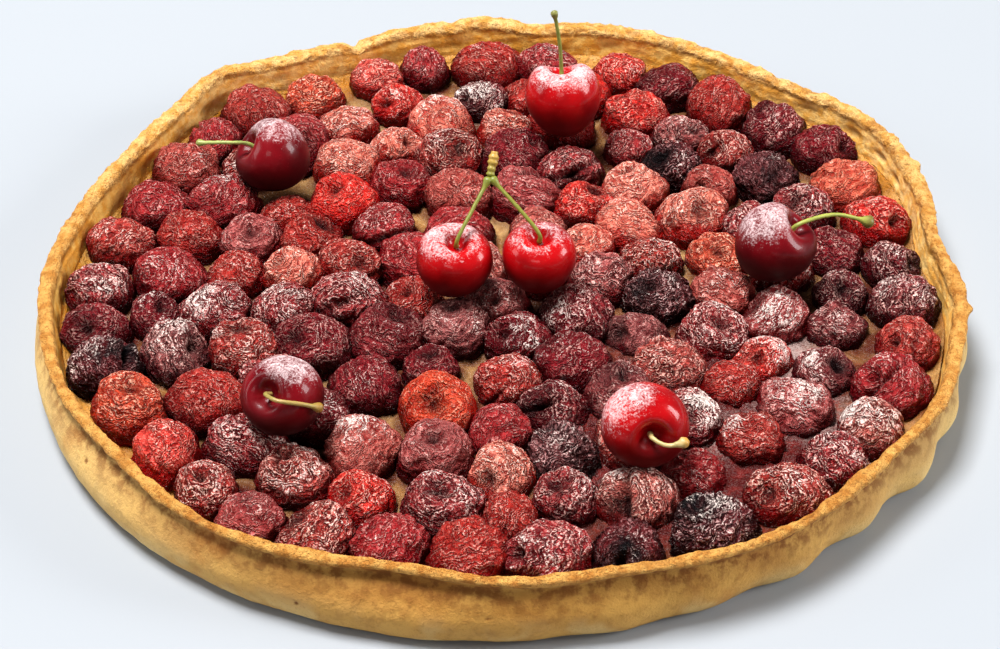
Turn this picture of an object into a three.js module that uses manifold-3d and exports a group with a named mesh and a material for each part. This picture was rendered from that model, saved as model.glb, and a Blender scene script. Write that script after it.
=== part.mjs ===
// An open cherry pie: a hand-raised shortcrust case, a baked custard set with whole cherries,
// and seven fresh cherries with their stems laid on top.
// Millimetres, +Z up. The origin is the centre of the flat base, and -Y is the front.

import * as THREE from 'three';
import { mergeVertices } from 'three/addons/utils/BufferGeometryUtils.js';
import Module from 'manifold-3d';

const wasm = await Module();
wasm.setup();

// ---- driving dimensions ----------------------------------------------------------------

const RIM_RADIUS = 150; // outer lip of the crust
const CASE_HEIGHT = 24; // base to the top of the rim
const FLOOR_THICKNESS = 3;
const RIM_THICKNESS_FRONT = 3.8;
const RIM_THICKNESS_BACK = 6.4;
const INNER_WALL_DRAFT = 1.2; // the inner wall leans in by this much
const CLEARANCE = 0.35; // gap that separate pieces keep
const CASE_SIDES = 104;

const CUSTARD_LEVEL = 11.2;
const CUSTARD_CLIMB = 4; // how far the film runs up the wall

const BAKED_RADIUS_MIN = 9.4;
const BAKED_RADIUS_MAX = 12.9;
const BAKED_REACH = 1.15; // an uneven cherry's furthest point, as a share of its radius
const BAKED_CENTRE_HEIGHT = 12;
const HEIGHT_WANDER = 2;
const STRETCH_WANDER = 0.2;
const RING_SPACING = 20;
const OUTER_RING_RADIUS = 130;
const RING_COUNTS = [37, 32, 26, 20, 14, 9, 3]; // outer ring first
const RING_WANDER = 10;
const STEP_WANDER = 0.8; // as a share of the step from one cherry to the next
const PACKING_ROUNDS = 80;
const CROWDING = 0.91; // neighbours may press into each other by this much
const SEAT_RADIUS = 13.4; // baked cherries part this far round a fresh one
const LAYOUT_SEED = 5184;

const STEM_RADIUS = 0.75;
const STEM_SIDES = 6;
const STEM_STEPS = 6;
const TWIN_ARM_STEPS = 4;
const SPUR_RADIUS = 1.5;
const SPUR_STEPS = 2;
const SPUR_FOOT_KNOB = 1.9;
const SPUR_TOP_KNOB = 2;
const STEM_FOOT_LIFT = 1.1; // keeps the stem's edge off the sides of the hollow
const STEM_STRAIGHT = 3;

// ---- helpers ---------------------------------------------------------------------------

function seededRandom(seed) {
  let state = seed;
  return () => {
    state = (state * 16807) % 2147483647;
    return state / 2147483647;
  };
}

const radians = (degrees) => (degrees * Math.PI) / 180;

const angleGap = (a, b) => ((((a - b) % 360) + 540) % 360) - 180;

// A smooth hump that is 1 at `at` and fades over `spread` degrees.
const hump = (degrees, at, spread) => Math.exp(-((angleGap(degrees, at) / spread) ** 2));

// 0 at the front, 1 at the back.
const backness = (degrees) => 0.5 + 0.5 * Math.sin(radians(degrees));

function mergedSolid(geometry) {
  const bare = geometry.clone();
  bare.deleteAttribute('normal');
  bare.deleteAttribute('uv');
  const merged = mergeVertices(bare, 1e-4);
  const mesh = new wasm.Mesh({
    numProp: 3,
    vertProperties: new Float32Array(merged.attributes.position.array),
    triVerts: new Uint32Array(merged.index.array),
  });
  return new wasm.Manifold(mesh);
}

function geometryOf(solid) {
  const { vertProperties, triVerts } = solid.getMesh();
  const geometry = new THREE.BufferGeometry();
  geometry.setAttribute('position', new THREE.BufferAttribute(new Float32Array(vertProperties), 3));
  geometry.setIndex(new THREE.BufferAttribute(new Uint32Array(triVerts), 1));
  geometry.computeVertexNormals();
  return geometry;
}

// Turns a profile about +Z, then lets `place(degrees, row)` give each ring point its radius and height.
function turnedShape(rowCount, place) {
  const profile = Array.from({ length: rowCount }, (_, row) => new THREE.Vector2(row ? 1 : 0, row));
  profile[rowCount - 1].x = 0;
  const geometry = new THREE.LatheGeometry(profile, CASE_SIDES);
  const points = geometry.attributes.position;
  for (let side = 0; side <= CASE_SIDES; side += 1) {
    const degrees = ((side % CASE_SIDES) * 360) / CASE_SIDES;
    for (let row = 0; row < rowCount; row += 1) {
      const [radius, height] = place(degrees, row);
      const x = radius * Math.cos(radians(degrees));
      const y = radius * Math.sin(radians(degrees));
      points.setXYZ(side * rowCount + row, x, y, height);
    }
  }
  return geometry;
}

// ---- the crust's outline -------------------------------------------------------------------

// Places where the hand-raised wall bulges (+) or is drawn in (-) at its rim and at its foot,
// and where the rim stands higher or lower, in mm.
const WALL_SWELLS = [
  { at: 4, spread: 10, rim: -6.5, foot: -6, up: 0 },
  { at: 28, spread: 9, rim: 3, foot: 1.5, up: 0.3 },
  { at: 48, spread: 9, rim: -1.5, foot: -1, up: 0 },
  { at: 76, spread: 13, rim: 1.2, foot: 0, up: 0 },
  { at: 85, spread: 3.5, rim: -1.2, foot: 0, up: -0.6 },
  { at: 92, spread: 4, rim: 1.2, foot: 0, up: 0.6 },
  { at: 111, spread: 3.5, rim: -0.6, foot: 0, up: -1.2 },
  { at: 132, spread: 6, rim: 4.4, foot: 1, up: 1.6 },
  { at: 161, spread: 14, rim: -4.3, foot: -3, up: 0 },
  { at: 218, spread: 16, rim: 0, foot: 1.6, up: 0 },
  { at: 237, spread: 8, rim: 2, foot: 0.8, up: 0 },
  { at: 258, spread: 9, rim: -3.2, foot: 0.6, up: -0.3 },
  { at: 302, spread: 11, rim: 3.4, foot: 0.6, up: 0.4 },
  { at: 328, spread: 8, rim: 1.6, foot: 2, up: 0 },
];

// The foot of the wall swells in short waves on the right, where it was pressed by hand.
const FOOT_WAVE = { at: 320, spread: 32, period: 11, dent: 298, depth: 1.7 };

const swell = (degrees, key) =>
  WALL_SWELLS.reduce((sum, s) => sum + s[key] * hump(degrees, s.at, s.spread), 0);

// Small unevenness all round the rim, in mm.
const RIPPLES = [
  { waves: 11, from: 40, height: 0.35 },
  { waves: 17, from: 200, height: 0.3 },
];

const ripple = (degrees) =>
  RIPPLES.reduce((sum, r) => sum + r.height * Math.sin(radians(degrees * r.waves + r.from)), 0);

const rimRadius = (degrees) => RIM_RADIUS + swell(degrees, 'rim') + ripple(degrees);

const rimHeight = (degrees) => CASE_HEIGHT + swell(degrees, 'up') + 0.5 * ripple(degrees + 70);

const rimThickness = (degrees) =>
  THREE.MathUtils.lerp(RIM_THICKNESS_FRONT, RIM_THICKNESS_BACK, backness(degrees)) +
  0.4 * ripple(degrees + 150);

const footWave = (degrees) =>
  -FOOT_WAVE.depth *
  hump(degrees, FOOT_WAVE.at, FOOT_WAVE.spread) *
  Math.cos((angleGap(degrees, FOOT_WAVE.dent) / FOOT_WAVE.period) * 2 * Math.PI);

// The foot is tucked under the rim at the back and on the right, and spreads out at the front left.
const FOOT_TUCK = 3;
const FOOT_SPREAD = 4.8;
const footRadius = (degrees) =>
  RIM_RADIUS -
  FOOT_TUCK +
  FOOT_SPREAD * hump(degrees, 235, 75) +
  swell(degrees, 'foot') +
  footWave(degrees);

const innerWallRadius = (degrees) =>
  rimRadius(degrees) - rimThickness(degrees) - INNER_WALL_DRAFT;

// ---- pastry case -------------------------------------------------------------------------

// Rows run from the centre of the base, up the outside, over the rim and down to the floor.
// Each row mixes foot and rim outlines by `lean`, steps outwards by `out` and stands at `z`;
// rows at the rim hang from the rim's height, and rows inside it are set in by its thickness.
const CASE_ROWS = [
  { axis: true, z: 0 },
  { lean: 0, out: -4.5, z: 0 },
  { lean: 0, out: -0.8, z: 1.6 },
  { lean: 0.1, out: 1.4, z: 5.5 },
  { lean: 0.3, out: 1.9, z: 10.5 },
  { lean: 0.7, out: 0.2, z: 16 },
  { lean: 1, out: -1.9, below: 4.6 },
  { lean: 1, out: 0, below: 1.6 },
  { lean: 1, out: -0.8, below: 0 },
  { inside: true, out: 0.6, below: 0.7 },
  { inside: true, out: -INNER_WALL_DRAFT, z: 12 },
  { inside: true, out: -4, z: FLOOR_THICKNESS },
  { axis: true, z: FLOOR_THICKNESS },
];

function casePoint(degrees, row) {
  const { axis, inside, lean, out, z, below } = CASE_ROWS[row];
  if (axis) {
    return [0, z];
  }
  const height = below === undefined ? z : rimHeight(degrees) - below;
  if (inside) {
    return [rimRadius(degrees) - rimThickness(degrees) + out, height];
  }
  return [THREE.MathUtils.lerp(footRadius(degrees), rimRadius(degrees), lean) + out, height];
}

const pastryCase = () => turnedShape(CASE_ROWS.length, casePoint);

// ---- where the cherries lie ------------------------------------------------------------------

// Each fresh cherry: where its centre stands, how wide it is, and which way its stalk hollow faces.
const FRESH_CHERRIES = [
  { name: 'back', x: 21.2, y: 78.8, width: 26, faces: [-0.05, 0.34, 0.94], colour: 0xb0121f },
  { name: 'upper_left', x: -77.1, y: 53.1, width: 25, faces: [-0.8, -0.12, 0.59], colour: 0x6e0f1c },
  { name: 'pair_left', x: -15.9, y: -12.7, width: 24.2, faces: [0.12, -0.22, 0.97], colour: 0xb8141f },
  { name: 'pair_right', x: 11.2, y: -12.2, width: 23.4, faces: [0.02, -0.1, 0.99], colour: 0xb8141f },
  { name: 'right', x: 86, y: -6.1, width: 25.6, faces: [0.68, -0.03, 0.73], colour: 0x4c0d18 },
  { name: 'lower_left', x: -65.4, y: -77.5, width: 24.6, faces: [-0.46, -0.65, 0.6], colour: 0x6e0f1c },
  { name: 'front', x: 40.3, y: -93.2, width: 25.6, faces: [0.18, -0.95, 0.26], colour: 0xb0121f },
];

function spreadRings(random) {
  const cherries = [];
  RING_COUNTS.forEach((count, ring) => {
    const ringRadius = OUTER_RING_RADIUS - ring * RING_SPACING;
    const turn = random() * 360;
    for (let i = 0; i < count; i += 1) {
      const degrees = turn + ((i + STEP_WANDER * (random() - 0.5)) * 360) / count;
      const reach = ringRadius + RING_WANDER * (random() - 0.5);
      cherries.push({
        x: reach * Math.cos(radians(degrees)),
        y: reach * Math.sin(radians(degrees)),
        radius: BAKED_RADIUS_MIN + (BAKED_RADIUS_MAX - BAKED_RADIUS_MIN) * random(),
      });
    }
  });
  return cherries;
}

function pushApart(a, b) {
  const dx = b.x - a.x;
  const dy = b.y - a.y;
  const distance = Math.hypot(dx, dy);
  const wanted = CROWDING * (a.radius + b.radius);
  if (distance < wanted) {
    const share = (0.5 * (wanted - distance)) / distance;
    a.x -= dx * share;
    a.y -= dy * share;
    b.x += dx * share;
    b.y += dy * share;
  }
}

function pushFromSeat(cherry, seat) {
  const dx = cherry.x - seat.x;
  const dy = cherry.y - seat.y;
  const distance = Math.hypot(dx, dy);
  if (distance < SEAT_RADIUS) {
    cherry.x = seat.x + (dx * SEAT_RADIUS) / distance;
    cherry.y = seat.y + (dy * SEAT_RADIUS) / distance;
  }
}

function keepInsideWall(cherry) {
  const degrees = (Math.atan2(cherry.y, cherry.x) * 180) / Math.PI;
  const limit = innerWallRadius(degrees) - BAKED_REACH * cherry.radius - CLEARANCE;
  const reach = Math.hypot(cherry.x, cherry.y);
  if (reach > limit) {
    cherry.x *= limit / reach;
    cherry.y *= limit / reach;
  }
}

// Rings of baked cherries, pushed apart until none crowds its neighbour.
function layOutBakedCherries() {
  const random = seededRandom(LAYOUT_SEED);
  const cherries = spreadRings(random);
  for (let round = 0; round < PACKING_ROUNDS; round += 1) {
    for (let i = 0; i < cherries.length; i += 1) {
      for (let j = i + 1; j < cherries.length; j += 1) {
        pushApart(cherries[i], cherries[j]);
      }
    }
    cherries.forEach((cherry) => {
      FRESH_CHERRIES.forEach((seat) => pushFromSeat(cherry, seat));
      keepInsideWall(cherry);
    });
  }
  cherries.forEach((cherry) => {
    cherry.z = BAKED_CENTRE_HEIGHT + HEIGHT_WANDER * (random() - 0.5);
    cherry.stretch = 1 + STRETCH_WANDER * (random() - 0.5);
    cherry.turn = 360 * random();
  });
  return cherries;
}

const bakedCherries = layOutBakedCherries();

// ---- custard with the baked cherries fused on ------------------------------------------------

// Rows run from the centre of the underside, round the edge and back over the top.
// `inset` is measured from the case's inner wall.
const CORE_ROWS = [
  { axis: true, z: FLOOR_THICKNESS + CLEARANCE },
  { inset: 3, z: FLOOR_THICKNESS + CLEARANCE },
  { inset: 0, z: CUSTARD_LEVEL + CUSTARD_CLIMB },
  { inset: 2.4, z: CUSTARD_LEVEL + 0.6 * CUSTARD_CLIMB },
  { inset: 9, z: CUSTARD_LEVEL },
  { axis: true, z: CUSTARD_LEVEL },
];

function corePoint(degrees, row) {
  const { axis, inset, z } = CORE_ROWS[row];
  return [axis ? 0 : innerWallRadius(degrees) - CLEARANCE - inset, z];
}

// The part of a baked cherry that can stand clear of the custard, as shares of its radius.
const BAKED_PROFILE = [
  [0, -0.2],
  [1.04, -0.2],
  [0.98, 0.42],
  [0.6, 0.84],
  [0, 0.99],
];
const BAKED_SIDES = 6;

const scaledProfile = (profile, size) =>
  profile.map(([out, up]) => new THREE.Vector2(out, up).multiplyScalar(size));

function bakedCherrySolid(cherry) {
  const geometry = new THREE.LatheGeometry(scaledProfile(BAKED_PROFILE, cherry.radius), BAKED_SIDES);
  geometry.rotateX(Math.PI / 2);
  geometry.scale(cherry.stretch, 1 / cherry.stretch, 1);
  geometry.rotateZ(radians(cherry.turn));
  geometry.translate(cherry.x, cherry.y, cherry.z);
  return mergedSolid(geometry);
}

function cherryFilling() {
  let solid = mergedSolid(turnedShape(CORE_ROWS.length, corePoint));
  bakedCherries.forEach((cherry) => {
    solid = solid.add(bakedCherrySolid(cherry));
  });
  return geometryOf(solid);
}

// ---- fresh cherries ------------------------------------------------------------------------

const FRESH_SIDES = 12;

// Half profile of a fresh cherry as shares of its half width: radius, and height along the stalk axis.
const FRESH_PROFILE = [
  [0, -0.97],
  [0.33, -0.9],
  [0.68, -0.63],
  [0.93, -0.2],
  [0.99, 0.24],
  [0.86, 0.65],
  [0.56, 0.87],
  [0.27, 0.76],
  [0, 0.56],
];

const HOLLOW_FLOOR = 0.56; // bottom of the stalk hollow, as a share of the half width

// A fresh cherry sinks until it meets the first baked one.
function freshCentre(fresh) {
  const reach = fresh.width / 2 + CLEARANCE;
  const heights = bakedCherries.map((baked) => {
    const apart = Math.hypot(baked.x - fresh.x, baked.y - fresh.y);
    const touch = reach + baked.radius;
    return apart < touch ? baked.z + Math.sqrt(touch ** 2 - apart ** 2) : 0;
  });
  return new THREE.Vector3(fresh.x, fresh.y, Math.max(...heights));
}

function freshCherry(fresh) {
  const geometry = new THREE.LatheGeometry(scaledProfile(FRESH_PROFILE, fresh.width / 2), FRESH_SIDES);
  const upright = new THREE.Vector3(0, 1, 0);
  const facing = new THREE.Vector3(...fresh.faces).normalize();
  geometry.applyQuaternion(new THREE.Quaternion().setFromUnitVectors(upright, facing));
  return geometry;
}

// ---- stems ---------------------------------------------------------------------------------

// A stem rises straight out of its cherry's hollow: its foot, and the point where it may bend.
function stemStart(fresh) {
  const facing = new THREE.Vector3(...fresh.faces).normalize();
  const foot = (HOLLOW_FLOOR * fresh.width) / 2 + STEM_FOOT_LIFT;
  return [foot, foot + STEM_STRAIGHT].map((rise) => freshCentre(fresh).addScaledVector(facing, rise));
}

function roundSection(radius, sides) {
  const shape = new THREE.Shape();
  for (let i = 0; i < sides; i += 1) {
    const angle = (i * 2 * Math.PI) / sides;
    const point = [radius * Math.cos(angle), radius * Math.sin(angle)];
    if (i === 0) {
      shape.moveTo(...point);
    } else {
      shape.lineTo(...point);
    }
  }
  shape.closePath();
  return shape;
}

function stalk(points, radius, steps) {
  const path = new THREE.CatmullRomCurve3(points);
  const options = { steps, extrudePath: path, bevelEnabled: false };
  return new THREE.ExtrudeGeometry(roundSection(radius, STEM_SIDES), options);
}

function knob(centre, radius) {
  const geometry = new THREE.IcosahedronGeometry(radius, 0);
  geometry.translate(centre.x, centre.y, centre.z);
  return geometry;
}

const joined = (...geometries) =>
  geometryOf(geometries.map(mergedSolid).reduce((whole, next) => whole.add(next)));

// Single stems: how each runs on from its cherry's hollow, as steps from the cherry's centre.
const STEMS = [
  { cherry: 'back', end: 1.3, colour: 0x8a9a45, along: [[-1.2, 3.6, 21], [-3.2, 4.4, 33.7]] },
  { cherry: 'upper_left', end: 1.3, colour: 0x9aa85a, along: [[-15, -3.6, 8.6], [-26.4, -0.6, 6.6]] },
  { cherry: 'right', end: 2.1, colour: 0x9aa04a, along: [[20, 5.2, 8.0], [33.2, 8, 2.4]] },
  {
    cherry: 'lower_left',
    end: 1.6,
    colour: 0x8a6a40,
    along: [[-1.5, -11.6, 7.8], [5.5, -11.4, 6.2], [11.6, -8.3, 1.9]],
  },
  { cherry: 'front', end: 1.7, colour: 0xb09a60, along: [[6.2, -13.6, 2.6], [12.6, -12.6, 3.2]] },
];

const freshNamed = (name) => FRESH_CHERRIES.find((fresh) => fresh.name === name);

function singleStem({ cherry, end, along }) {
  const fresh = freshNamed(cherry);
  const centre = freshCentre(fresh);
  const onward = along.map((step) => centre.clone().add(new THREE.Vector3(...step)));
  const points = [...stemStart(fresh), ...onward];
  return joined(stalk(points, STEM_RADIUS, STEM_STEPS), knob(points[points.length - 1], end));
}

// The middle pair hangs on one twig: two stems that meet under a short knobbly spur.
const TWIN_JOINT = new THREE.Vector3(-4, 0, 57);
const TWIN_SPUR_TOP = new THREE.Vector3(-2.4, 4.4, 63.6);

function twinStem() {
  const arms = ['pair_left', 'pair_right'].map((name) => {
    const [foot, bend] = stemStart(freshNamed(name));
    return stalk([foot, bend, TWIN_JOINT], STEM_RADIUS, TWIN_ARM_STEPS);
  });
  const spur = stalk([TWIN_JOINT, TWIN_SPUR_TOP], SPUR_RADIUS, SPUR_STEPS);
  const knobs = [knob(TWIN_JOINT, SPUR_FOOT_KNOB), knob(TWIN_SPUR_TOP, SPUR_TOP_KNOB)];
  return joined(...arms, spur, ...knobs);
}

// ---- the pie -------------------------------------------------------------------------------

const pie = new THREE.Group();

function addPiece(name, geometry, colour, roughness, position) {
  const material = new THREE.MeshStandardMaterial({ color: colour, roughness, metalness: 0 });
  const mesh = new THREE.Mesh(geometry, material);
  mesh.name = name;
  if (position) {
    mesh.position.copy(position);
  }
  pie.add(mesh);
}

addPiece('pastry_case', pastryCase(), 0xd9a45a, 0.85);
addPiece('cherry_filling', cherryFilling(), 0x8c2430, 0.6);
FRESH_CHERRIES.forEach((fresh) => {
  addPiece(`fresh_cherry_${fresh.name}`, freshCherry(fresh), fresh.colour, 0.15, freshCentre(fresh));
});
STEMS.forEach((stem) => {
  addPiece(`stem_${stem.cherry}`, singleStem(stem), stem.colour, 0.6);
});
addPiece('twin_stem', twinStem(), 0x8a9a45, 0.6);

export default pie;
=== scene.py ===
# A baked open cherry pie: the looks of its crust, custard, cherries, stems and sugar, built round
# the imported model. Lengths are in millimetres; add_piece() turns them into metres.
# -Y is the front, and angles round the pie are in degrees from +X.

import itertools
import math

import bpy
import numpy as np
from mathutils import Matrix, Vector


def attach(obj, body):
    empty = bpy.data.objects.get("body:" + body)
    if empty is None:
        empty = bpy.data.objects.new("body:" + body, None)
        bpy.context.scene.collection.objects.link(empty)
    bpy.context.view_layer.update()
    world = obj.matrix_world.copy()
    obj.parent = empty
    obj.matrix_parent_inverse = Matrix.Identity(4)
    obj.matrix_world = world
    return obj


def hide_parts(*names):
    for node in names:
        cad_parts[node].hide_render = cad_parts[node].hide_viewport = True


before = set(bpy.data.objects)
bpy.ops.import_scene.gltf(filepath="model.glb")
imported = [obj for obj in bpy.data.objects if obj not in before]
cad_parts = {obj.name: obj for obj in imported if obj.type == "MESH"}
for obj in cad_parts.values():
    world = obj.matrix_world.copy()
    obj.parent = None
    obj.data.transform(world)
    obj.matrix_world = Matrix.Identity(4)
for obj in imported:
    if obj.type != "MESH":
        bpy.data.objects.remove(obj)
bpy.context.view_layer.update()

MM = 0.001


def add_object(name, data):
    made = bpy.data.objects.new(name, data)
    bpy.context.scene.collection.objects.link(made)
    return made


# ---- camera ----

IMAGE_WIDTH = 1000
LENS = 90.55
CAMERA_DISTANCE = 830
CAMERA_ELEVATION = math.radians(37.917)
CAMERA_ROLL = math.radians(0.657)
CAMERA_SHIFT = (-4.4 / IMAGE_WIDTH, -5.8 / IMAGE_WIDTH)
NEAREST_SEEN, FURTHEST_SEEN = 0.05, 20  # metres


def add_camera():
    data = bpy.data.cameras.new("camera")
    data.lens = LENS
    data.shift_x, data.shift_y = CAMERA_SHIFT
    data.clip_start, data.clip_end = NEAREST_SEEN, FURTHEST_SEEN
    camera = add_object("camera", data)
    back = Vector((0, -math.cos(CAMERA_ELEVATION), math.sin(CAMERA_ELEVATION)))
    level_right = Vector((1, 0, 0))
    level_up = back.cross(level_right)
    right = level_right * math.cos(CAMERA_ROLL) - level_up * math.sin(CAMERA_ROLL)
    up = level_right * math.sin(CAMERA_ROLL) + level_up * math.cos(CAMERA_ROLL)
    turned = Matrix((right, up, back)).transposed().to_4x4()
    camera.matrix_world = Matrix.Translation(back * CAMERA_DISTANCE * MM) @ turned
    bpy.context.scene.camera = camera


# ---- floor and light ----

FLOOR_RADIUS = 3.0  # metres, as all of this section
FLOOR_SIDES = 64
SOFT_LIGHTS = [  # name, place, size, watts
    ("overhead", (-0.5, 0.2, 2.3), (1.1, 0.8), 112),
    ("left_side", (-2.2, -0.2, 1.0), (0.8, 1.0), 13),
    ("right_side", (2.2, -0.2, 1.0), (0.8, 1.0), 44),
    ("front_fill", (-0.4, -2.4, 1.7), (1.0, 0.7), 7),
]
SKY = (0.95, 0.97, 1.0)
SKY_STRENGTH = 0.16


def add_floor():
    mesh = bpy.data.meshes.new("floor")
    turns = [i * math.tau / FLOOR_SIDES for i in range(FLOOR_SIDES)]
    rim = [(FLOOR_RADIUS * math.cos(turn), FLOOR_RADIUS * math.sin(turn), 0) for turn in turns]
    mesh.from_pydata(rim, [], [list(range(FLOOR_SIDES))])
    floor = add_object("floor", mesh)
    mesh.materials.append(Nodes("pale_floor").finish("9fa3a8", roughness=0.8, specular=0.1))


def add_lights():
    for name, place, size, watts in SOFT_LIGHTS:
        data = bpy.data.lights.new(name, "AREA")
        data.shape = "RECTANGLE"
        data.size, data.size_y = size
        data.energy = watts
        lamp = add_object(name, data)
        lamp.location = place
        lamp.rotation_euler = Vector(place).to_track_quat("Z", "Y").to_euler()
    world = bpy.data.worlds.new("studio")
    world.use_nodes = True
    background = world.node_tree.nodes["Background"]
    background.inputs["Color"].default_value = (*SKY, 1)
    background.inputs["Strength"].default_value = SKY_STRENGTH
    bpy.context.scene.world = world
    bpy.context.scene.view_settings.view_transform = "Standard"


# ---- material helpers ----


def colour(code):
    """A colour written as on a screen, in linear light."""
    channels = [int(code[i : i + 2], 16) / 255 for i in (0, 2, 4)]
    return tuple(((c + 0.055) / 1.055) ** 2.4 if c > 0.04045 else c / 12.92 for c in channels)


class Nodes:
    """Builds one material's nodes with short calls; every call gives back an output socket. A value
    is a number, a socket, or a colour's code."""

    def __init__(self, name):
        self.material = bpy.data.materials.new(name)
        self.material.use_nodes = True
        self.tree = self.material.node_tree
        self.shader = self.tree.nodes["Principled BSDF"]

    def plug(self, socket, value):
        if isinstance(value, bpy.types.NodeSocket):
            self.tree.links.new(value, socket)
        elif isinstance(value, str):
            socket.default_value = (*colour(value), 1)
        else:
            socket.default_value = value

    def node(self, kind, inputs=(), **settings):
        made = self.tree.nodes.new("ShaderNode" + kind)
        for key, value in settings.items():
            setattr(made, key, value)
        for key, value in dict(inputs).items():
            self.plug(made.inputs[key], value)
        return made

    def place(self):
        return self.node("TexCoord").outputs["Object"]

    def vector(self, name):
        return self.node("Attribute", attribute_name=name).outputs["Vector"]

    def value(self, name):
        return self.node("Attribute", attribute_name=name).outputs["Fac"]

    def values(self, names):
        return [self.value(name) for name in names.split()]

    def noise(self, at, scale, detail=2.0, roughness=0.5, distortion=0.0):
        inputs = {"Vector": at, "Scale": scale, "Detail": detail, "Roughness": roughness}
        made = self.node("TexNoise", {**inputs, "Distortion": distortion})
        return made.outputs["Fac"]

    def span(self, value, low, high, to_low=0.0, to_high=1.0):
        """`value` from low to high becomes to_low to to_high, clamped and eased."""
        inputs = {"Value": value, "From Min": low, "From Max": high}
        inputs.update({"To Min": to_low, "To Max": to_high})
        made = self.node("MapRange", inputs, interpolation_type="SMOOTHSTEP")
        return made.outputs["Result"]

    def math(self, operation, first, *others):
        for other in others or (0.0,):
            made = self.node("Math", {0: first, 1: other}, operation=operation)
            first = made.outputs[0]
        return first

    def times(self, *values):
        return self.math("MULTIPLY", *values)

    def plus(self, *values):
        return self.math("ADD", *values)

    def mix(self, share, a, b):
        made = self.node("Mix", {0: share, 6: a, 7: b}, data_type="RGBA")
        return made.outputs[2]

    def blend(self, value, low, high, a, b):
        """Turns from `a` to `b` as `value` goes from low to high."""
        return self.mix(self.span(value, low, high), a, b)

    def bump(self, height, distance, strength=1.0, onto=None):
        inputs = {"Height": height, "Distance": distance * MM, "Strength": strength}
        if onto is not None:
            inputs["Normal"] = onto
        return self.node("Bump", inputs).outputs["Normal"]

    def finish(self, base, roughness, normal=None, coat=0.0, coat_roughness=0.05, specular=0.5):
        shader = self.shader.inputs
        self.plug(shader["Base Color"], base)
        self.plug(shader["Roughness"], roughness)
        self.plug(shader["Coat Weight"], coat)
        self.plug(shader["Coat Roughness"], coat_roughness)
        self.plug(shader["Specular IOR Level"], specular)
        if normal is not None:
            self.plug(shader["Normal"], normal)
        return self.material


# ---- shape helpers ----


def add_piece(name, points, faces, layers, material, replaced):
    """Makes a smooth mesh from points in mm, groups of faces with as many corners each, and the
    per-point values its material reads; it stands for the CAD node `replaced`."""
    corners = np.concatenate([np.asarray(group).ravel() for group in faces])
    sizes = np.concatenate([np.full(len(group), group.shape[1]) for group in faces])
    mesh = bpy.data.meshes.new(name)
    mesh.vertices.add(len(points))
    mesh.vertices.foreach_set("co", (points * MM).ravel())
    mesh.loops.add(len(corners))
    mesh.loops.foreach_set("vertex_index", corners)
    mesh.polygons.add(len(sizes))
    mesh.polygons.foreach_set("loop_start", np.cumsum(sizes) - sizes)
    mesh.update(calc_edges=True)
    mesh.shade_smooth()
    for key, values in layers.items():
        values = np.asarray(values, dtype=np.float32)
        kind, field = ("FLOAT_VECTOR", "vector") if values.ndim == 2 else ("FLOAT", "value")
        mesh.attributes.new(key, kind, "POINT").data.foreach_set(field, values.ravel())
    mesh.materials.append(material)
    piece = add_object(name, mesh)
    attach(piece, "root")
    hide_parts(replaced)


NOISE_GAIN = 1.5
CREASE_SHARPNESS = 2.6


def hashed(cell, seed):
    """Three repeatable numbers from -1 to 1 for each whole-number lattice point."""
    x, y, z = (cell[..., axis].astype(np.uint32) for axis in range(3))
    h = x * np.uint32(374761393) + y * np.uint32(668265263) + z * np.uint32(2246822519)
    h = h + np.uint32(seed * 7919 + 13)
    h = (h ^ (h >> np.uint32(15))) * np.uint32(2246822519)
    h = (h ^ (h >> np.uint32(13))) * np.uint32(3266489917)
    h = h ^ (h >> np.uint32(16))
    parts = [(h >> np.uint32(shift)) & np.uint32(1023) for shift in (0, 10, 20)]
    return np.stack(parts, axis=-1) / 511.5 - 1


def noise(points, seed=0):
    """Smooth noise of about -1 to 1, with features about one unit across."""
    base = np.floor(points)
    inside = points - base
    base = base.astype(np.int64)
    fade = inside**3 * (inside * (inside * 6 - 15) + 10)
    total = np.zeros(points.shape[:-1])
    for corner in itertools.product((0, 1), repeat=3):
        slope = hashed(base + np.array(corner), seed)
        weight = np.prod(np.where(np.array(corner), fade, 1 - fade), axis=-1)
        total += weight * ((inside - np.array(corner)) * slope).sum(axis=-1)
    return total * NOISE_GAIN


def creases(points, seed=0):
    """A winding net of ridges, 1 on a ridge and falling to -1 between them."""
    return 1 - 2 * np.clip(np.abs(noise(points, seed)) * CREASE_SHARPNESS, 0, 1)


def smooth_step(value, low, high):
    share = np.clip((value - low) / (high - low), 0, 1)
    return share * share * (3 - 2 * share)


def bell(value):
    """1 where `value` is zero, falling smoothly to almost nothing by two either way."""
    return np.exp(-(value**2))


def patch(x, y, at_x, at_y, reach):
    """1 at one place on the pie, falling off over `reach`."""
    return np.exp(-((x - at_x) ** 2 + (y - at_y) ** 2) / reach**2)


def polar(reach, turned, height):
    """Points at a distance from an axis, an angle in radians and a height."""
    return np.stack([reach * np.cos(turned), reach * np.sin(turned), height], axis=-1)


def with_ends(points):
    """`points` with one more at each end, as far beyond it as the end's neighbour is before it."""
    return np.concatenate([2 * points[:1] - points[1:2], points, 2 * points[-1:] - points[-2:-1]])


def spline(points, counts):
    """Catmull-Rom through `points` (rows along axis 0), with `counts` steps in each stretch."""
    ends = with_ends(points)
    rows = []
    for count, p0, p1, p2, p3 in zip(counts, ends, ends[1:], ends[2:], ends[3:]):
        for t in np.arange(count) / count:
            rows.append(
                0.5 * (2 * p1 + (p2 - p0) * t + (2 * p0 - 5 * p1 + 4 * p2 - p3) * t**2)
                + 0.5 * (3 * p1 - p0 - 3 * p2 + p3) * t**3
            )
    return np.array(rows + [points[-1]])


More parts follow.
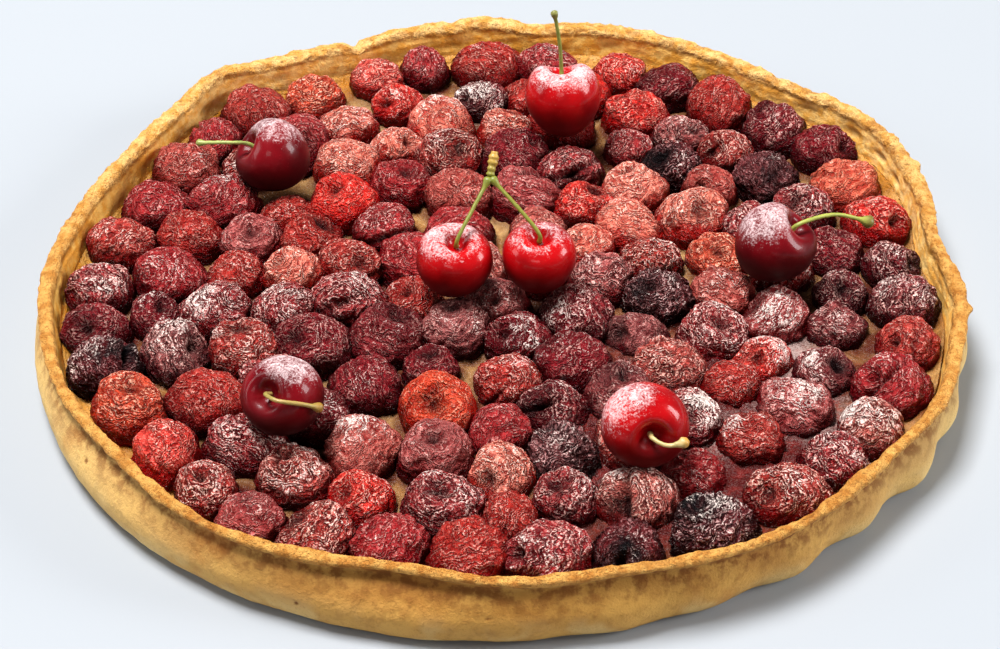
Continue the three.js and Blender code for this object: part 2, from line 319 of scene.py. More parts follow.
def fan_faces(ring, centre, flip=False):
    """Triangles from a closed ring of point numbers to a centre point."""
    after = np.roll(ring, -1)
    first, second = (after, ring) if flip else (ring, after)
    return np.stack([first, second, np.full_like(ring, centre)], axis=-1)


def closed_faces(rows, sides):
    """Faces over rows of points that go round an axis, and over the two points after them, of
    which one closes the first row and one the last."""
    row, side = np.meshgrid(np.arange(rows - 1) * sides, np.arange(sides), indexing="ij")
    after = (side + 1) % sides
    quads = np.stack([row + side, row + after, row + sides + after, row + sides + side], axis=-1)
    ring = np.arange(sides)
    low_end = fan_faces(ring, rows * sides, flip=True)
    high_end = fan_faces(ring + (rows - 1) * sides, rows * sides + 1)
    return [quads.reshape(-1, 4), low_end, high_end]


# ---- outline of the crust, by the same rules as the solid ----

RIM_RADIUS = 150
CASE_HEIGHT = 24
FLOOR_THICKNESS = 3
RIM_THICKNESS_FRONT = 3.8
RIM_THICKNESS_BACK = 6.4
INNER_WALL_DRAFT = 1.2
CLEARANCE = 0.35

WALL_SWELLS = [  # at, spread, rim, foot, up
    (4, 10, -6.5, -6, 0), (28, 9, 3, 1.5, 0.3), (48, 9, -1.5, -1, 0), (76, 13, 1.2, 0, 0),
    (85, 3.5, -1.2, 0, -0.6), (92, 4, 1.2, 0, 0.6), (111, 3.5, -0.6, 0, -1.2),
    (132, 6, 4.4, 1, 1.6), (161, 14, -4.3, -3, 0), (218, 16, 0, 1.6, 0), (237, 8, 2, 0.8, 0),
    (258, 9, -3.2, 0.6, -0.3), (302, 11, 3.4, 0.6, 0.4), (328, 8, 1.6, 2, 0),
]
FOOT_WAVE = {"at": 320, "spread": 32, "period": 11, "dent": 298, "depth": 1.7}
FOOT_TUCK = 3
FOOT_SPREAD = {"at": 235, "spread": 75, "out": 4.8}


def angle_gap(a, b):
    return np.mod(a - b + 540, 360) - 180


def hump(degrees, at, spread):
    return bell(angle_gap(degrees, at) / spread)


def swell(degrees, column):
    return sum(row[column] * hump(degrees, row[0], row[1]) for row in WALL_SWELLS)


def ripple(degrees):
    fast = 0.3 * np.sin(np.radians(degrees * 17 + 200))
    return 0.35 * np.sin(np.radians(degrees * 11 + 40)) + fast


def rim_radius(degrees):
    return RIM_RADIUS + swell(degrees, 2) + ripple(degrees)


def rim_height(degrees):
    return CASE_HEIGHT + swell(degrees, 4) + 0.5 * ripple(degrees + 70)


def rim_thickness(degrees):
    backness = 0.5 + 0.5 * np.sin(np.radians(degrees))
    even = RIM_THICKNESS_FRONT + (RIM_THICKNESS_BACK - RIM_THICKNESS_FRONT) * backness
    return even + 0.4 * ripple(degrees + 150)


def foot_radius(degrees):
    turns = angle_gap(degrees, FOOT_WAVE["dent"]) / FOOT_WAVE["period"]
    depth = FOOT_WAVE["depth"] * hump(degrees, FOOT_WAVE["at"], FOOT_WAVE["spread"])
    spread = FOOT_SPREAD["out"] * hump(degrees, FOOT_SPREAD["at"], FOOT_SPREAD["spread"])
    return RIM_RADIUS - FOOT_TUCK + spread + swell(degrees, 3) - depth * np.cos(turns * math.tau)


def inner_wall_radius(degrees):
    return rim_radius(degrees) - rim_thickness(degrees) - INNER_WALL_DRAFT


# ---- crust ----

CRUST_SIDES = 1000
CRUST_STEPS = [4, 9, 11, 11, 9, 9, 7, 12, 22, 3]

# Narrow dents, tears and tabs of the rim: at, spread (degrees), out, up (mm).
RIM_MARKS = [
    (111.5, 0.9, -0.9, -1.7), (20.5, 0.8, 1.3, 0.3), (349.5, 0.7, 1.2, 0.2),
    (300.5, 0.5, -0.3, -0.7), (243.5, 0.6, -0.3, -0.6), (228, 0.9, 0.2, -0.5),
    (318, 0.6, 0.3, -0.5), (281, 0.8, 0.2, 0.5), (196, 0.7, 0.3, -0.4),
    (55, 0.9, 0.7, -0.6), (63, 0.7, -0.5, 0.5), (40, 0.6, 0.8, 0.2),
    (140, 1.0, 0.5, -0.6), (97, 0.8, -0.5, -0.6),
]
# Hollows baked into the inside of the wall: at (degrees), height, across, depth (mm).
WALL_HOLLOWS = [
    (33, 18.5, 4.5, 1.2), (27, 17.5, 3.5, 1.5), (41, 19, 5, 1.0), (22, 16.5, 3.2, 1.3),
    (55, 18, 6, 0.9), (74, 18.5, 6, 0.8), (97, 17.5, 6, 0.9),
    (124, 18.5, 5, 0.8), (136, 17.5, 4, 1.1), (152, 17, 4, 0.8),
]
INSIDE_RADIUS = 143  # of the wall where the hollows are
# Small pits in the outside of the wall, darkened with painted shade: at (degrees), height, across
# (mm).
WALL_PITS = [
    (214, 14, 0.9), (247, 8.5, 0.8), (268, 12, 0.6),
    (330, 9, 0.7), (120, 11, 0.8), (60, 13, 0.7),
]


def case_rows(degrees):
    """The case's profile at each angle: radius and height of the rows that the solid has too."""
    foot, rim, top = foot_radius(degrees), rim_radius(degrees), rim_height(degrees)
    inside = rim - rim_thickness(degrees)
    flat = np.zeros_like(degrees)
    rows = [
        (foot - 4.5, flat),
        (foot - 0.8, flat + 1.6),
        (0.9 * foot + 0.1 * rim + 1.4, flat + 5.5),
        (0.7 * foot + 0.3 * rim + 1.9, flat + 10.5),
        (0.3 * foot + 0.7 * rim + 0.2, flat + 16),
        (rim - 1.9, top - 4.6),
        (rim, top - 1.6),
        (rim - 0.8, top),
        (inside + 0.6, top - 0.7),
        (inside - INNER_WALL_DRAFT, flat + 12),
        (inside - 4, flat + FLOOR_THICKNESS),
    ]
    return np.array([np.stack(row, axis=-1) for row in rows])


def add_crust():
    degrees = np.arange(CRUST_SIDES) * 360 / CRUST_SIDES
    profile = spline(case_rows(degrees), CRUST_STEPS)
    radius, height = profile[..., 0], profile[..., 1]
    rows = len(radius)
    along = np.arange(rows)[:, None]
    starts = np.cumsum([0, *CRUST_STEPS])
    # shares of each row: on the lip, inside it, outside it, and free of the floor
    lip = smooth_step(along, starts[5], starts[6])
    lip = lip * (1 - smooth_step(along, starts[8], starts[8] + 7))
    inside = smooth_step(along, starts[7] + 4, starts[8] + 2)
    outside = 1 - smooth_step(along, starts[6], starts[7])
    free = smooth_step(along, 0, starts[1]) * (1 - smooth_step(along, starts[9], starts[9] + 1))
    turned = np.radians(degrees)[None, :]
    place = polar(radius, turned, height)

    marks_out = sum(out * hump(degrees, at, spread) for at, spread, out, up in RIM_MARKS)
    marks_up = sum(up * hump(degrees, at, spread) for at, spread, out, up in RIM_MARKS)
    hollow = np.zeros_like(radius)
    for at, level, across, depth in WALL_HOLLOWS:
        sideways = np.radians(angle_gap(degrees, at))[None, :] * INSIDE_RADIUS
        hollow += depth * bell(sideways / across) * bell((height - level) / (0.4 * across))
    hollow *= inside
    pit = np.zeros_like(radius)
    for at, level, across in WALL_PITS:
        sideways = np.radians(angle_gap(degrees, at))[None, :] * RIM_RADIUS
        pit += bell(sideways / across) * bell((height - level) / across)
    pit *= outside

    undulation = noise(place / 24, 1)
    knuckles = noise(place / np.array([8, 8, 13]), 2)
    grit = noise(place / 2.6, 3)
    crumbs = noise(place / 1.7, 4)
    flakes = creases(place / np.array([5, 5, 3.5]), 5)
    streaks = creases(place / np.array([16, 16, 3.2]), 6)
    swelling = 0.45 * undulation + 0.22 * knuckles + 0.09 * grit
    rough = 0.5 + 0.5 * smooth_step(np.sin(turned), -0.4, 0.5)
    swelling += lip * rough * (0.4 * crumbs + 0.3 * flakes + 0.3 * knuckles)
    swelling += inside * (0.1 * streaks * (1 - lip) + 0.16 * grit + 0.4 * knuckles)
    swelling = (swelling - hollow - 0.5 * pit) * free

    around = np.roll(place, -1, axis=1) - np.roll(place, 1, axis=1)
    upward = np.gradient(place, axis=0)
    normal = np.cross(around, upward)
    normal /= np.linalg.norm(normal, axis=-1, keepdims=True)
    moved = place + normal * swelling[..., None]
    moved += polar(1, turned, np.zeros_like(turned)) * (lip * marks_out[None, :])[..., None]
    moved[..., 2] += lip * marks_up[None, :]
    moved[..., 2] = np.maximum(moved[..., 2], 0)

    points = np.concatenate([moved.reshape(-1, 3), [(0, 0, 0), (0, 0, FLOOR_THICKNESS)]])

    def layer(values):
        return np.concatenate([np.broadcast_to(values, radius.shape).ravel(), [0, 0]])

    layers = {
        "lip": layer(lip),
        "inside": layer(inside),
        "height": layer(height / CASE_HEIGHT),
        "relief": layer(0.5 + 0.5 * np.clip(swelling, -1, 1)),
        "pit": layer(np.clip(pit + 0.7 * hollow, 0, 1)),
        "backness": layer(0.5 + 0.5 * np.sin(turned)),
        # painted light: the outside's left and right sides are made paler
        "paleness_and_side_light": layer(0.8 * hump(degrees, 350, 34) + 0.6 * hump(degrees, 200, 34)),
        "creamy": layer(hump(degrees, 16, 26) + 0.8 * hump(degrees, 128, 16)),
    }
    faces = closed_faces(rows, CRUST_SIDES)
    add_piece("crust", points, faces, layers, crust_finish(), "pastry_case")


def crust_finish():
    n = Nodes("baked_pastry")
    at = n.place()
    lip, inside, pit, height, backness = n.values("lip inside pit height backness")
    patches = n.noise(at, 60, 3)
    mottle = n.noise(at, 260, 4, 0.6)
    speck = n.noise(at, 1500, 3, 0.6)
    crumbs = n.noise(at, 800, 4, 0.7)
    wall = n.blend(patches, 0.35, 0.65, "c69344", "ac742c")
    wall = n.mix(n.span(mottle, 0.45, 0.75, 0, 0.6), wall, "905a1a")
    # the outside is palest low down; painted shade and browning darken it under the lip, and
    # painted light makes its left and right sides paler
    low_down = n.times(n.span(height, 0.6, 0.1), n.span(patches, 0.45, 0.6, 0.1, 0.55))
    paleness_and_side_light = n.plus(low_down, n.times(n.value("paleness_and_side_light"), 0.8))
    wall = n.mix(n.math("MINIMUM", paleness_and_side_light, 0.85), wall, "ecce8a")
    under_lip_shade_and_browning = n.times(n.span(height, 0.45, 0.85, 0, 0.95), n.span(mottle, 0.4, 0.6, 0.3, 1))
    wall = n.mix(under_lip_shade_and_browning, wall, "74400e")
    rim = n.blend(mottle, 0.35, 0.65, "e6ac58", "c27e30")
    golden = n.blend(mottle, 0.35, 0.65, "ffd286", "e8a64a")
    # the back of the rim is more golden: partly its own colour and partly painted light
    rim = n.mix(n.span(backness, 0.4, 0.9, 0, 0.85), rim, golden)
    base = n.mix(lip, wall, rim)
    film = n.blend(mottle, 0.38, 0.62, "f8c468", "e8a23e")
    film = n.mix(n.span(patches, 0.5, 0.7, 0, 0.5), film, "d4862a")
    creamy = n.blend(mottle, 0.4, 0.62, "fcd288", "f2b65c")
    paler = n.times(n.value("creamy"), n.span(patches, 0.66, 0.45, 0.6, 1.0))
    film = n.mix(paler, film, creamy)
    wet = n.times(inside, n.math("SUBTRACT", 1.0, lip))
    base = n.mix(wet, base, film)
    # painted shade darkens the dips, the pits and hollows and the gaps between the crumbs; the
    # brown specks are the crust's own
    dip_shade = n.span(n.value("relief"), 0.42, 0.26, 0, 0.45)
    base = n.mix(n.times(dip_shade, n.span(wet, 0.2, 0.8, 1.0, 0.15)), base, "9c5612")
    specks = n.times(n.span(speck, 0.56, 0.68), n.span(lip, 0, 1, 0.22, 0.5))
    base = n.mix(specks, base, "7c4a18")
    pit_shade = n.times(n.span(pit, 0.15, 0.8, 0, 0.8), n.span(wet, 0.2, 0.8, 1.0, 0.55))
    base = n.mix(pit_shade, base, "6b3a12")
    crumb_gap_shade = n.times(n.span(crumbs, 0.47, 0.33), n.span(lip, 0.2, 1, 0, 0.6))
    base = n.mix(crumb_gap_shade, base, "945216")
    roughness = n.span(wet, 0.2, 0.9, 0.75, 0.36)
    normal = n.bump(speck, 0.2, 0.8, n.bump(mottle, 0.9, 0.7))
    normal = n.bump(n.times(crumbs, n.span(lip, 0, 1, 0.15, 1)), 2.0, 1.0, normal)
    return n.finish(base, roughness, normal, specular=0.25)


# ---- where the cherries lie, by the same rules as the solid ----

BAKED_RADIUS_MIN, BAKED_RADIUS_MAX = 9.4, 12.9
BAKED_REACH = 1.15
BAKED_CENTRE_HEIGHT = 12
HEIGHT_WANDER = 2
STRETCH_WANDER = 0.2
RING_SPACING = 20
OUTER_RING_RADIUS = 130
RING_COUNTS = [37, 32, 26, 20, 14, 9, 3]
RING_WANDER = 10
STEP_WANDER = 0.8
PACKING_ROUNDS = 80
CROWDING = 0.91
SEAT_RADIUS = 13.4
LAYOUT_SEED = 5184

# Fresh cherries: place, width, the way the stalk hollow faces, and skin.
FRESH_CHERRIES = {
    "back": (21.2, 78.8, 26, (-0.05, 0.34, 0.94), "red"),
    "upper_left": (-77.1, 53.1, 25, (-0.8, -0.12, 0.59), "dark"),
    "pair_left": (-15.9, -12.7, 24.2, (0.12, -0.22, 0.97), "red"),
    "pair_right": (11.2, -12.2, 23.4, (0.02, -0.1, 0.99), "red"),
    "right": (86, -6.1, 25.6, (0.68, -0.03, 0.73), "dark"),
    "lower_left": (-65.4, -77.5, 24.6, (-0.46, -0.65, 0.6), "dark"),
    "front": (40.3, -93.2, 25.6, (0.18, -0.95, 0.26), "red"),
}


class Cherry:
    """One baked cherry's place and radius."""

    def __init__(self, x, y, r):
        self.x, self.y, self.r = x, y, r


def seeded_random(seed):
    """The solid's own random draw, so that both lay out the same cherries."""
    state = seed
    while True:
        state = (state * 16807) % 2147483647
        yield state / 2147483647


def push_apart(a, b):
    dx, dy = b.x - a.x, b.y - a.y
    wanted = CROWDING * (a.r + b.r)
    if abs(dx) >= wanted or abs(dy) >= wanted:
        return
    distance = math.hypot(dx, dy)
    if distance < wanted:
        share = 0.5 * (wanted - distance) / distance
        a.x -= dx * share
        a.y -= dy * share
        b.x += dx * share
        b.y += dy * share


def push_from_seat(cherry, seat):
    dx, dy = cherry.x - seat[0], cherry.y - seat[1]
    distance = math.hypot(dx, dy)
    if distance < SEAT_RADIUS:
        cherry.x = seat[0] + dx * SEAT_RADIUS / distance
        cherry.y = seat[1] + dy * SEAT_RADIUS / distance


TENTHS = np.arange(3601)
WALL_BY_TENTH_DEGREE = inner_wall_radius(TENTHS / 10)


def wall_beside(cherry):
    degrees = math.degrees(math.atan2(cherry.y, cherry.x)) % 360
    return np.interp(degrees * 10, TENTHS, WALL_BY_TENTH_DEGREE)


def keep_inside_wall(cherry):
    limit = wall_beside(cherry) - BAKED_REACH * cherry.r - CLEARANCE
    reach = math.hypot(cherry.x, cherry.y)
    if reach > limit:
        cherry.x *= limit / reach
        cherry.y *= limit / reach


def lay_out_baked_cherries():
    draw = seeded_random(LAYOUT_SEED)
    cherries = []
    for ring, count in enumerate(RING_COUNTS):
        turn = next(draw) * 360
        for i in range(count):
            degrees = turn + (i + STEP_WANDER * (next(draw) - 0.5)) * 360 / count
            reach = OUTER_RING_RADIUS - ring * RING_SPACING + RING_WANDER * (next(draw) - 0.5)
            radius = BAKED_RADIUS_MIN + (BAKED_RADIUS_MAX - BAKED_RADIUS_MIN) * next(draw)
            x, y = reach * math.cos(math.radians(degrees)), reach * math.sin(math.radians(degrees))
            cherries.append(Cherry(x, y, radius))
    for _ in range(PACKING_ROUNDS):
        for a, b in itertools.combinations(cherries, 2):
            push_apart(a, b)
        for cherry in cherries:
            for seat in FRESH_CHERRIES.values():
                push_from_seat(cherry, seat)
            keep_inside_wall(cherry)
    for cherry in cherries:
        cherry.z = BAKED_CENTRE_HEIGHT + HEIGHT_WANDER * (next(draw) - 0.5)
        cherry.stretch = 1 + STRETCH_WANDER * (next(draw) - 0.5)
        cherry.turn = 360 * next(draw)
    return cherries


# ---- sugar and colour zones ----

# Where more sugar fell: x, y, reach (mm), amount.
SUGAR_FALLS = [
    (-17, 103, 10, 0.7), (-38, 92, 13, 0.5), (2, 96, 10, 0.4), (-97, 58, 10, 0.6),
    (-97, -22, 12, 0.7), (-115, -6, 11, 0.5), (-75, -12, 10, 0.3), (-133, -40, 10, 0.4),
    (-38, -8, 9, 0.5), (-47, -78, 12, 0.8), (-73, -66, 8, 0.7), (28, -96, 9, 0.6),
    (64, -76, 12, 0.9), (85, -55, 14, 0.6), (97, -72, 14, 0.7), (82, -20, 15, 0.55),
    (90, -36, 12, 0.8), (6, -36, 16, 0.65), (108, -50, 10, 0.2), (58, -110, 14, 0.3),
]
EVEN_DUSTING = 0.33
FALLEN_SUGAR = 0.75


def sugar_at(x, y):
    falls = sum(amount * patch(x, y, *place) for *place, amount in SUGAR_FALLS)
    return EVEN_DUSTING + FALLEN_SUGAR * falls


# Baked cherries by kind: colours of the top and the sides (a lit and a shaded copy of the skin:
# painted light and shade), the furrows (painted shade) and the ridges (sugar-pale skin and painted
# highlight).
KINDS = {
    "bright": ("e02c22", "a00204", "680102", "ffb8a4"),
    "deep": ("ae2c24", "760305", "3a0102", "f8c2b0"),
    "salmon": ("e47862", "a8120c", "740502", "ffd6c2"),
    "orange": ("d2462a", "a01004", "620501", "ffc4a4"),
    "burgundy": ("80121c", "4e020a", "260003", "ecb6aa"),
    "burnt": ("641a1e", "2a0203", "120001", "c48e8c"),
    "crimson": ("a42629", "6c0309", "320004", "f6c2b6"),
}

# Where each kind is most common: x, y, reach (mm), pull.
KIND_ZONES = {
    "salmon": [
        (-35, 85, 40, 0.9), (30, 30, 26, 0.6), (-20, -98, 30, 0.7), (60, 35, 26, 0.7),
        (-75, 10, 10, 2.0), (84, 91, 9, 2.0),
    ],
    "bright": [
        (42, 116, 24, 0.9), (-58, 48, 18, 0.9), (-24, 30, 14, 0.9), (-108, -84, 24, 1.0),
        (-40, -106, 12, 2.0), (80, -40, 12, 2.0), (30, 44, 10, 2.0), (-37, 116, 10, 2.0),
        (125, 38, 10, 2.0),
    ],
    "orange": [
        (-58, 113, 10, 2.0), (-95, 20, 10, 2.0), (-105, -60, 12, 2.0), (-22, -54, 10, 2.0),
        (120, -70, 10, 2.0), (128, 18, 12, 1.6), (114, 57, 9, 2.0), (66, 16, 16, 1.2),
        (-42, 42, 10, 1.5), (55, -135, 10, 1.6),
    ],
    "burgundy": [
        (22, -34, 38, 1.0), (106, 0, 24, 0.9), (-45, -40, 28, 0.8), (-108, -8, 22, 0.8),
        (100, -52, 22, 0.8), (130, -8, 22, 1.2), (-13, 118, 10, 2.0), (65, 108, 10, 2.0),
        (103, 75, 12, 2.0), (5, 66, 10, 1.5),
    ],
    "burnt": [
        (57, 60, 9, 2.5), (92, 52, 9, 2.0), (58, -8, 10, 2.5), (-115, -38, 10, 2.5),
        (-10, -80, 9, 2.5), (22, -70, 9, 2.5), (21, -88, 9, 2.5), (62, -82, 10, 2.5),
        (84, -88, 10, 2.5), (54, -114, 10, 2.5), (30, -122, 10, 2.5), (-82, -118, 9, 1.6),
        (-88, -46, 9, 2.0),
    ],
}
DEEP_EVERYWHERE = 0.5
BURNT_SELDOM = 0.5


def kind_of(cherry, draw):
    scores = {kind: draw.uniform(0, 0.5) for kind in KINDS if kind != "crimson"}
    scores["deep"] += DEEP_EVERYWHERE
    scores["burnt"] -= BURNT_SELDOM
    for kind, zones in KIND_ZONES.items():
        for *place, pull in zones:
            scores[kind] += pull * patch(cherry.x, cherry.y, *place)
    return max(scores, key=scores.get)


# ---- baked cherries ----

BALL_FREQUENCY = 19
BALL_CUT = -0.2


def cut_ball(frequency, cut):
    """Unit directions and triangles of a ball above the height `cut`, closed below by a fan."""
    golden = (1 + math.sqrt(5)) / 2
    tips = [(a, b, 0) for a in (-1, 1) for b in (-golden, golden)]
    tips = np.array([np.roll(tip, shift) for shift in range(3) for tip in tips], dtype=float)
    near = 2 * 1.01
    apart = np.linalg.norm(tips[:, None] - tips[None], axis=-1)
    corners = [
        trio
        for trio in itertools.combinations(range(12), 3)
        if all(apart[a, b] < near for a, b in itertools.combinations(trio, 2))
    ]
    points, faces = [], []
    for trio in corners:
        a, b, c = tips[list(trio)]
        if np.dot(np.cross(b - a, c - a), a + b + c) < 0:
            b, c = c, b
        start = len(points)
        index = {}
        for i in range(frequency + 1):
            for j in range(frequency + 1 - i):
                index[i, j] = start + len(index)
                points.append((a * (frequency - i - j) + b * i + c * j) / frequency)
        for i in range(frequency):
            for j in range(frequency - i):
                faces.append((index[i, j], index[i + 1, j], index[i, j + 1]))
                if i + j < frequency - 1:
                    faces.append((index[i + 1, j], index[i + 1, j + 1], index[i, j + 1]))
    points = np.array(points)
    points /= np.linalg.norm(points, axis=1, keepdims=True)
    _, first, same = np.unique(np.round(points, 5), axis=0, return_index=True, return_inverse=True)
    points, faces = points[first], same.ravel()[np.array(faces)]
    faces = faces[(points[faces][..., 2] > cut).all(axis=1)]
    used, faces = np.unique(faces, return_inverse=True)
    points, faces = points[used], faces.reshape(-1, 3)
    edges = np.concatenate([faces[:, [0, 1]], faces[:, [1, 2]], faces[:, [2, 0]]])
    both_ways = {tuple(edge) for edge in edges}
    open_edges = np.array([(b, a) for a, b in both_ways if (b, a) not in both_ways])
    bottom = np.full((len(open_edges), 1), len(points))
    faces = np.concatenate([faces, np.concatenate([open_edges, bottom], axis=1)])
    return np.concatenate([points, [(0, 0, cut)]]), faces


def spread_axes(draw, count, tilt):
    """Random unit vectors leaning up to `tilt` from straight up."""
    turn = draw.uniform(0, math.tau, count)
    lean = tilt * np.sqrt(draw.uniform(0, 1, count))
    return polar(np.sin(lean), turn, np.cos(lean))


BAKED_SEED = 77
WRINKLE_STEP = 1.5  # from one fine wrinkle to the next
LEAN_TO_WALL = 3.0  # the furthest that a cherry by the wall moves out to rest on it
LEAN_CLEARANCE = 0.3  # what it keeps from the wall
LEAN_RISE = 0.3  # how much it rises by the way
FLATTENED = 0.97
CALM_KINDS = {"bright": 0.75, "salmon": 0.85, "orange": 0.8}  # how deep their wrinkles are
SHRIVELLED = 1.1  # how deep the wrinkles of the others are
CHARRED = {"burnt": 1.0, "burgundy": 0.5, "deep": 0.25, "crimson": 0.25}
# Cherries near these places have a deep hole, turned to the front and painted dark with shade.
HOLES = [
    (30, 45), (57, 60), (-40, 45), (-58, 113), (-60, 30),
    (1, 95), (52, 30), (-75, -38), (22, -70), (103, -48),
]
HOLE_REACH = 8
HOLE_AXIS = (0.12, -0.5, 0.86)


def has_hole(cherry):
    return any(math.hypot(cherry.x - x, cherry.y - y) < HOLE_REACH for x, y in HOLES)


def baked_shapes(directions, cherries, kind, draw):
    """Every cherry of one kind: its points, and the values that its material reads."""
    count = len(cherries)
    offset = draw.uniform(-200, 200, (count, 1, 3))
    ball = np.broadcast_to(directions, (count, *directions.shape))

    def each(low, high):
        return draw.uniform(low, high, (count, 1))

    # the stalk hollow
    has_hollow = (each(0, 1) < (0.95 if kind == "burnt" else 0.6)).astype(float)
    hollow_axis = spread_axes(draw, count, np.where(has_hollow[:, 0] > 0, 0.9, 1.5))
    holed = np.array([has_hole(cherry) for cherry in cherries])
    has_hollow[holed] = 1
    hollow_axis[holed] = HOLE_AXIS
    holed = holed[:, None]
    toward = np.einsum("vk,ck->cv", directions, hollow_axis)
    from_axis = np.arccos(np.clip(toward, -1, 1))
    hollow_width = np.where(holed, 0.36, each(0.16, 0.4))
    hollow = has_hollow * bell(from_axis / hollow_width)
    collar = has_hollow * bell((from_axis - 2.1 * hollow_width) / (0.8 * hollow_width))
    # a fold or split across the skin
    fold_axis = spread_axes(draw, count, math.pi / 2)
    across = np.einsum("vk,ck->cv", directions, fold_axis) - each(-0.15, 0.45)
    fold_reach = bell(from_axis / each(0.5, 1.1))
    fold_depth = each(0.03, 0.27) * (each(0, 1) < 0.65)
    fold_width = each(0.05, 0.12)
    fold = bell(across / fold_width) * fold_reach
    fold_lips = bell((np.abs(across) - 2.2 * fold_width) / fold_width) * fold_reach

    # wrinkles wind round the hollow; `across_rings` is the distance across them in mm
    radius = np.array([c.r for c in cherries])[:, None]
    winding = each(2.0, 4.5) * noise(ball * 2.4 + offset, 11) + noise(ball * 6.0 - offset, 13)
    across_rings = from_axis * radius + winding
    wide = creases(ball * each(2.4, 3.2)[..., None] + offset, 12)
    wrinkle = 0.4 * wide + 0.6 * np.sin(across_rings * math.tau / (2 * WRINKLE_STEP))

    lumps = noise(ball * 1.1 + offset, 14)
    dents = noise(ball * 2.3 - offset, 15)
    shrivel = CALM_KINDS.get(kind, SHRIVELLED) * each(0.8, 1.15)
    reach = 1 + 0.12 * lumps + 0.08 * dents + 0.036 * shrivel * wrinkle
    reach += 0.07 * collar - (0.30 + 0.16 * holed) * hollow
    reach += fold_depth * (0.35 * fold_lips - fold)
    if kind == "burnt":
        reach += 0.05 * creases(ball * 4.6 + offset * 2, 16)
    reach = np.clip(reach, 0.5, BAKED_REACH)

    shape = ball * (reach * radius)[..., None]
    stretch = np.array([c.stretch for c in cherries])[:, None]
    turn = np.radians([c.turn for c in cherries])[:, None]
    wide_x, wide_y = shape[..., 0] * stretch, shape[..., 1] / stretch
    x = wide_x * np.cos(turn) - wide_y * np.sin(turn)
    y = wide_x * np.sin(turn) + wide_y * np.cos(turn)
    centre = np.array([leaning_place(c) for c in cherries])[:, None, :]
    points = np.stack([x, y, shape[..., 2] * FLATTENED], axis=-1) + centre

    charred = CHARRED.get(kind, 0.0)
    scorch = smooth_step(toward + 0.4 * lumps + 0.18 * wrinkle, 0.74, 0.94)
    # how far each point faces up: it places the painted light on the tops and the sugar
    facing_up = smooth_step(ball[..., 2] + 0.2 * dents, 0.1, 0.95)
    layers = {
        "rings": across_rings,
        "top": facing_up,
        # the lower side, which is painted dark as shade
        "foot": smooth_step(-ball[..., 2] + 0.1 * dents, -0.62, 0.02),
        "wrinkle": 0.5 + 0.5 * wrinkle,
        # the stalk hollows, holes and splits, which are painted dark as shade
        "cavity": np.clip((0.9 + 0.9 * holed) * hollow + 3.2 * fold_depth * fold, 0, 1),
        "scorch": scorch * charred * (each(0, 1) < charred + 0.2),
        "tone": each(0, 1) * np.ones_like(toward),
        "sugar": sugar_at(points[..., 0], points[..., 1]) * facing_up,
    }
    layers = {key: values.ravel() for key, values in layers.items()}
    layers["skin"] = (ball * radius[..., None] + offset).reshape(-1, 3)
    return points.reshape(-1, 3), layers


def leaning_place(cherry):
    """A cherry that lies by the wall leans against it."""
    out = np.array([cherry.x, cherry.y, 0.0])
    reach = np.linalg.norm(out)
    gap = wall_beside(cherry) - reach - cherry.r
    lean = min(max(gap - LEAN_CLEARANCE, 0), LEAN_TO_WALL) * smooth_step(gap, 7, 4)
    return out * (1 + lean / reach) + np.array([0, 0, cherry.z + LEAN_RISE * lean])


def add_baked_cherries(cherries):
    directions, triangles = cut_ball(BALL_FREQUENCY, BALL_CUT)
    draw = np.random.default_rng(BAKED_SEED)
    groups = {kind: [] for kind in KINDS}
    for cherry in cherries:
        groups[kind_of(cherry, draw)].append(cherry)
    # deep is the common kind: every second one of them is crimson
    groups["deep"], groups["crimson"] = groups["deep"][::2], groups["deep"][1::2]
    for kind, group in groups.items():
        points, layers = baked_shapes(directions, group, kind, draw)
        steps = np.arange(len(group))[:, None, None] * len(directions)
        faces = (triangles[None] + steps).reshape(-1, 3)
        name, slot = f"baked_cherries_{kind}", "baked_cherries"
        add_piece(name, points, [faces], layers, baked_finish(kind), "cherry_filling")


